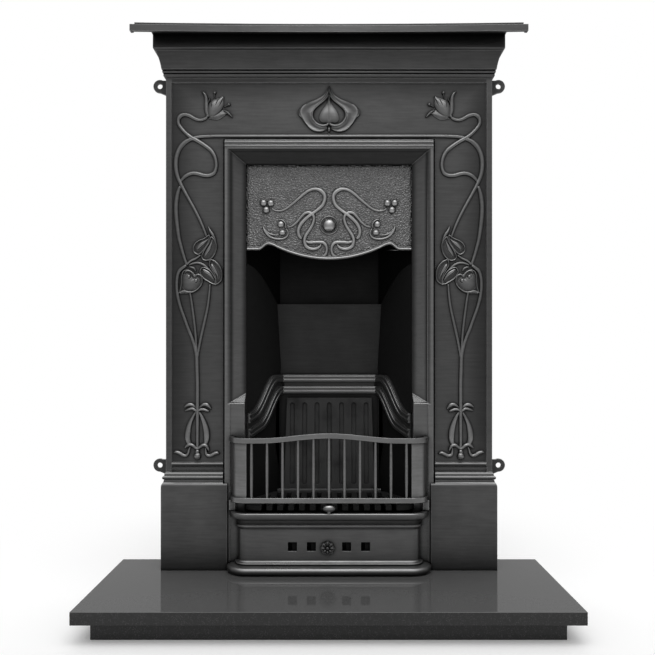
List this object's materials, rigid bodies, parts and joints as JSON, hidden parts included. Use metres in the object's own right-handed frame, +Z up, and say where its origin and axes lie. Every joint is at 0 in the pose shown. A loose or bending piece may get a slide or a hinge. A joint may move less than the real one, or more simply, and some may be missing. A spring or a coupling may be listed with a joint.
{
  "type": "cast iron fireplace",
  "caption": "Cast iron fireplace with moulded cornice and shelf, splayed insert with a curved canopy, barred fire basket, sliding ash cover and a polished stone hearth.",
  "frame": {"origin": "on the floor, in the plane of the finished wall's face, on the centre line of the fireplace", "axes": "+X to the right as seen from the room, +Y into the wall (the front faces -Y), +Z up"},
  "size_m": [1.067, 0.49, 1.39],
  "materials": {
    "black_iron": "satin black, rubbed brighter on raised edges",
    "sooty_iron": "matt, darkened by heat and soot",
    "fire_clay": "matt, blackened",
    "black_sheet": "matt heat-resistant black",
    "dark_steel": "oiled",
    "granite": "polished, with fine pale specks",
    "mortar": "rough"
  },
  "bodies": {
    "fireplace": {"hearth_bed": "mortar", "hearth_slab": "granite", "riser_front": "granite", "riser_left": "granite", "riser_right": "granite", "front_panel": "black_iron", "mantel_shelf": "black_iron", "shelf_bolts": "dark_steel", "insert_frame": "black_iron", "insert_bolts": "dark_steel", "canopy": "black_iron", "canopy_bolts": "dark_steel", "cheek_left": "sooty_iron", "cheek_right": "sooty_iron", "cheek_bolts": "dark_steel", "fireback": "sooty_iron", "fireback_bolts": "dark_steel", "back_brick": "fire_clay", "throat_box": "black_sheet", "throat_bolts": "dark_steel", "damper_pin": "dark_steel"},
    "bars": {"front_bars": "black_iron"},
    "grate": {"bottom_grate": "sooty_iron"},
    "cover": {"ash_cover": "black_iron", "ash_cover_knob": "black_iron", "vent_guides": "sooty_iron", "guide_screws": "dark_steel"},
    "slide": {"vent_slide": "black_sheet", "vent_knob": "black_iron"},
    "pan": {"ash_pan": "black_sheet", "ash_pan_handle": "black_sheet"},
    "damper": {"damper_flap": "sooty_iron", "damper_lever": "sooty_iron"}
  },
  "joints": [
    {"name": "bars_lift", "type": "slide", "parent": "fireplace", "child": "bars", "axis": [0, 0, 1], "range_m": [0, 0.05]},
    {"name": "grate_lift", "type": "slide", "parent": "fireplace", "child": "grate", "axis": [0, 0, 1], "range_m": [0, 0.04]},
    {"name": "cover_slide", "type": "slide", "parent": "fireplace", "child": "cover", "axis": [0, -1, 0], "range_m": [0, 0.2]},
    {"name": "vent_slide", "type": "slide", "parent": "cover", "child": "slide", "axis": [1, 0, 0], "range_m": [-0.0112, 0.0112]},
    {"name": "pan_slide", "type": "slide", "parent": "fireplace", "child": "pan", "axis": [0, -1, 0], "range_m": [0, 0.16]},
    {"name": "damper_hinge", "type": "hinge", "parent": "fireplace", "child": "damper", "pos_m": [0, 0.074, 0.9213], "axis": [-1, 0, 0], "range_deg": [0, 75]}
  ],
  "couplings": [
    {"joint": "pan_slide", "follows": "cover_slide", "ratio": 0.8}
  ]
}
